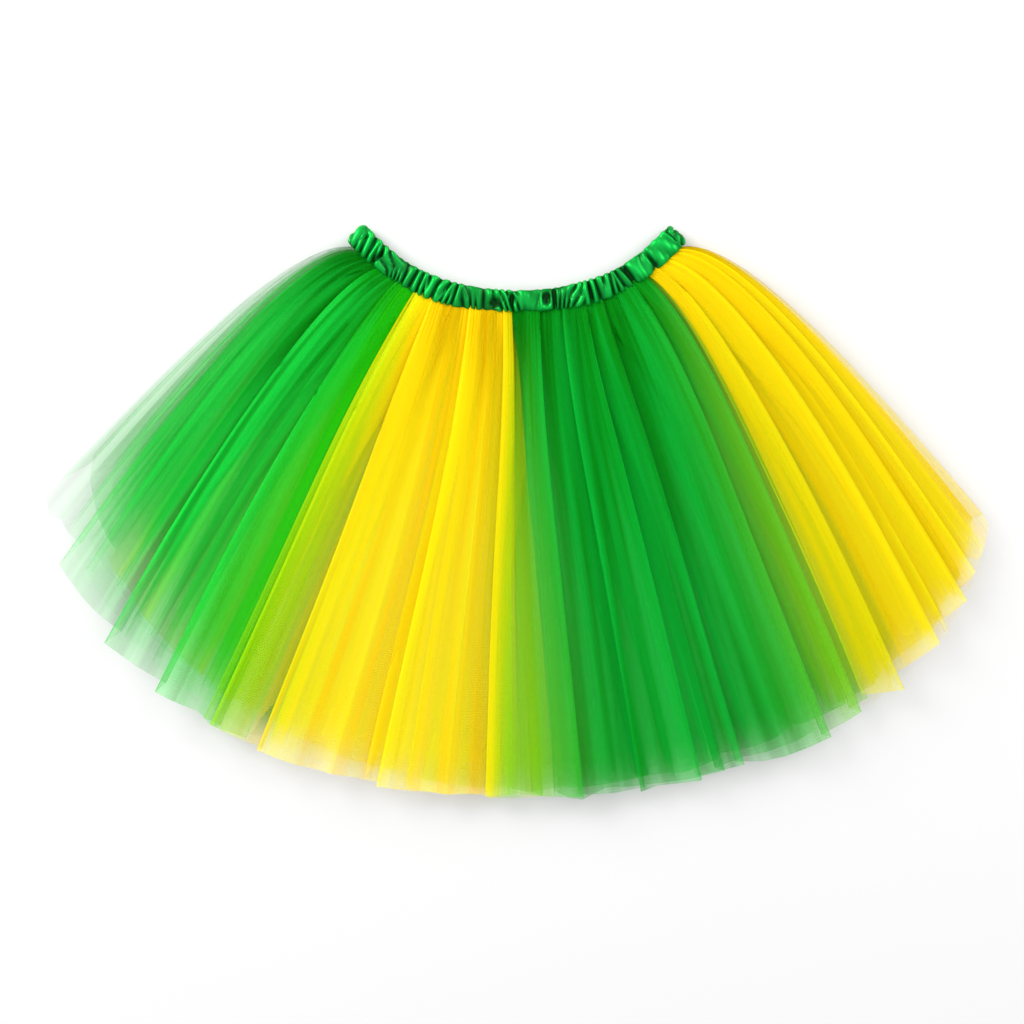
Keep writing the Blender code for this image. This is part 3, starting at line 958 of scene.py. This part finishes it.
# Stretches where the satin lies smoother. Columns: bearing, half width in degrees, share of the ruches
# taken away, height of what is left.
CALM_STRETCHES = (
    (4.3, 3.2, 0.9, 0.55),
    (50.5, 3.4, 0.8, 0.95),
    (72.0, 14.0, 0.85, 0.85),
    (-86.0, 5.0, 0.5, 0.8),
)
# What is left there: how much more it stands out at the top, and a soft wave's size and its paces
# along the band and up it.
CALM_TILT = 0.12
CALM_WAVE, CALM_WAVE_ALONG, CALM_WAVE_UP = 0.2, 0.55, 2.2
# Puckers that show on their own. Columns: bearing, height share from -1 at the lower edge to 1 at the
# upper, half width in degrees, half height, how far it swells out or, below 0, sinks in.
PUCKERS = (
    (-7.8, -0.30, 1.8, 0.42, -1.3),
    (-7.4, 0.55, 1.8, 0.35, 0.5),
    (-1.9, 0.10, 0.8, 0.80, -1.0),
    (10.2, 0.15, 1.5, 0.45, -1.4),
    (10.2, -0.75, 2.0, 0.25, 0.5),
    (8.4, 0.00, 0.8, 0.80, 0.6),
    (12.0, 0.00, 0.7, 0.80, 0.6),
    (13.4, 0.00, 0.5, 1.20, -0.9),
    (25.0, 0.30, 0.9, 0.70, 0.6),
    (27.6, -0.20, 0.7, 0.80, -0.8),
    (45.5, 0.00, 0.8, 1.20, -0.8),
    (58.5, 0.10, 1.2, 0.80, -0.8),
    (84.5, 0.20, 2.5, 0.90, -0.4),
    (-62.0, -0.20, 1.2, 0.60, -0.8),
)
# A bearing with no calm stretch or pucker near it, for the sides and the back of the band.
PLAIN_BEARING = 180.0


def waves(place, parts):
    return sum(size * np.sin(place * pace + phase) for size, pace, phase in parts)


def ridge(phase):
    """Rounded ridges with sharp valleys between them, one for each whole step of the phase."""
    return np.abs(np.sin(np.pi * phase)) ** RIDGE_POWER


def ruches(run, bearing, height_share):
    """How far each place of the casing stands out, 0 in a valley and 1 on a crest."""
    count = run / RUCHE_PITCH
    slant = height_share * (waves(count, SLANT) - bearing / FAN_LEAN)
    bottom = ridge(count + waves(count, BOTTOM_WANDER) + slant)
    top = ridge(TOP_RUCHES * count + waves(count, TOP_WANDER) + slant)
    change = np.clip(0.5 + MERGE_SHARPNESS * (height_share + waves(count, MERGE_LEVEL)), 0, 1)
    bulge = (MEAN_TALLNESS + waves(count, TALLNESS)) * (bottom * (1 - change) + top * change)
    soft_wave = CALM_WAVE * np.sin(bearing * CALM_WAVE_ALONG + height_share * CALM_WAVE_UP)
    for at, reach, calm, level in CALM_STRETCHES:
        share = calm * np.exp(-(((bearing - at) / reach) ** 4))
        bulge += (level + CALM_TILT * height_share + soft_wave - bulge) * share
    for at, high, wide, tall, swell in PUCKERS:
        bulge += swell * np.exp(-(((bearing - at) / wide) ** 2) - ((height_share - high) / tall) ** 2)
    return np.clip(bulge, *BULGE_LIMITS)


print(len(PUCKERS), "puckers and", len(CALM_STRETCHES), "calm stretches along the band")

# %% The band's ring
def arc_bearings(count):
    """Bearings that part the waist line into equal lengths, and the whole length."""
    fine = np.linspace(-90, 90, FINE_BEARINGS)
    steps = np.linalg.norm(np.diff(fan_ends(fine)[0], axis=0), axis=1)
    lengths = np.concatenate([[0], np.cumsum(steps)])
    return np.interp(np.linspace(0, lengths[-1], count), lengths, fine), float(lengths[-1])


def band_ring():
    """Bearing, turn in degrees and run in metres for each station round the casing, and its length."""
    front, length = arc_bearings(FRONT_STATIONS)
    back = arc_bearings(BACK_STATIONS)[0][::-1]
    turn = 180 * (np.arange(TURN_STATIONS) + 1) / (TURN_STATIONS + 1)
    end = np.full(TURN_STATIONS, 90.0)
    turn_run = BAND_TURN_LENGTH * turn / 180
    back_start = length + BAND_TURN_LENGTH
    bearing = np.concatenate([front, end, back, -end])
    swing = np.concatenate([0 * front, turn, 0 * back + 180, 180 - turn])
    run = np.concatenate([
        np.linspace(0, length, FRONT_STATIONS), length + turn_run,
        back_start + np.linspace(0, length, BACK_STATIONS), back_start + length + turn_run,
    ])
    return bearing, swing, run, 2 * back_start


ring_length = band_ring()[3]
print("band ring", round(ring_length / MM), "mm, cut", BAND_CUT[0] / MM, "mm long")

# %% Build the band
# The satin's colour follows the bulge, as painted shade: 0 in a valley, 1 from just below a crest.
VALLEY_SHADE_GAIN, VALLEY_SHADE_START = 1.15, 0.1


def rounded(value, power):
    """A sine or cosine drawn towards 1 and -1, so that a circle becomes boxier."""
    return np.sign(value) * np.abs(value) ** power


def waist_direction(bearing):
    """Unit steps along the waist line, from left to right."""
    inside = np.clip(bearing, -90 + 2 * TANGENT_STEP, 90 - 2 * TANGENT_STEP)
    here, ahead = fan_ends(inside - TANGENT_STEP)[0], fan_ends(inside + TANGENT_STEP)[0]
    return (ahead - here) / np.linalg.norm(ahead - here, axis=1, keepdims=True)


def join_ends(mesh):
    """Welds the last station to the first and turns all faces outward."""
    builder = bmesh.new()
    builder.from_mesh(mesh)
    bmesh.ops.remove_doubles(builder, verts=builder.verts, dist=WELD)
    bmesh.ops.recalc_face_normals(builder, faces=builder.faces)
    builder.to_mesh(mesh)
    builder.free()


def make_band():
    bearing, swing, run, length = band_ring()
    count = len(bearing)
    mesh, station, corner = flat_grid("satin_waistband", count, SECTION_POINTS)
    at = station % count
    section = np.linspace(np.pi + SLIT, 3 * np.pi - SLIT, SECTION_POINTS + 1)[corner]
    upward = rounded(np.cos(section), SECTION_POWERS[0])
    outward_face = rounded(np.sin(section), SECTION_POWERS[1])
    bulge = ruches(run[at], np.where(swing[at] < 90, bearing[at], PLAIN_BEARING), upward)

    along = waist_direction(bearing[at])
    across = np.column_stack([-along[:, 1], along[:, 0]])
    tall = BAND_HEIGHT - BAND_MIDDLE_PINCH * np.exp(-((bearing[at] / BAND_PINCH_BEARING) ** 2))
    middle = fan_ends(bearing[at])[0] + across * tall[:, None] / 2
    half = tall / 2 - BAND_EDGE_WAVE * (1 - bulge)
    skin = BAND_VALLEY_HALF + (BAND_CREST_HALF - BAND_VALLEY_HALF) * bulge
    thick = outward_face * np.where(outward_face > 0, skin, BAND_INNER_HALF)
    pivot = (BAND_LEVEL_FRONT + BAND_LEVEL_BACK) / 2
    arm = (BAND_LEVEL_FRONT - BAND_LEVEL_BACK) / 2 + thick
    swung = np.radians(swing[at])
    outward = along * np.sign(bearing[at])[:, None]
    place = middle + across * (upward * half)[:, None] + outward * (np.sin(swung) * arm)[:, None]
    move_points(mesh, place - FAN_CENTRING, np.maximum(pivot + np.cos(swung) * arm, LOWEST))

    # Painted shade: the swell also sets how dark the satin is painted, near black in a valley.
    store_value(mesh, "swell", np.clip(bulge * VALLEY_SHADE_GAIN - VALLEY_SHADE_START, 0, 1))
    map_cloth(mesh, np.append(run, length)[station], corner / SECTION_POINTS * BAND_CUT[1])
    join_ends(mesh)
    mesh.shade_smooth()
    area = sum(polygon.area for polygon in mesh.polygons)
    print("band", len(mesh.polygons) * 2, "triangles,", round(area, 4), "m2 in sight")
    return link_object("satin_waistband", mesh)


# %% [markdown]
# ## Satin
# Satin shines along its ridges and looks nearly black in its valleys, because its long floats send
# the light one way. A plain glossy paint would be too hard and white. A half metallic shader keeps
# the highlights green, and a faint bump breaks up the shine. The dark valleys are painted shade: the
# swell stored on the mesh mixes the colour towards near black there.

# %% Satin
# The valley colour is painted shade; the crest colour is the satin's own green.
SATIN_VALLEY_SHADE = (0.0, 0.035, 0.003)
SATIN_CREST = (0.004, 0.43, 0.055)
SATIN_METAL = 0.5
SATIN_ROUGHNESS = 0.38
SATIN_SHINE = 0.12
WRINKLE_SCALE = (620.0, 150.0, 1.0)
WRINKLE_DETAIL = 2.0
WRINKLE_STRENGTH = 0.28
WRINKLE_DEPTH = 0.6 * MM


def make_satin():
    satin, tree, shader = new_material("green_satin_weave")
    shader.inputs["Metallic"].default_value = SATIN_METAL
    shader.inputs["Roughness"].default_value = SATIN_ROUGHNESS
    shader.inputs["Specular IOR Level"].default_value = SATIN_SHINE
    # Painted shade: the valleys are mixed towards near black.
    shaded_tint = mix_colours(tree, SATIN_VALLEY_SHADE, SATIN_CREST, attribute(tree, "swell"))
    tree.links.new(shaded_tint, shader.inputs["Base Color"])
    bump = add_node(tree, "ShaderNodeBump")
    bump.inputs["Strength"].default_value = WRINKLE_STRENGTH
    bump.inputs["Distance"].default_value = WRINKLE_DEPTH
    tree.links.new(cloth_noise(tree, WRINKLE_SCALE, WRINKLE_DETAIL), bump.inputs["Height"])
    tree.links.new(bump.outputs["Normal"], shader.inputs["Normal"])
    return satin


band = make_band()
band.data.materials.append(make_satin())
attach(band, "root")
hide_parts("waistband")
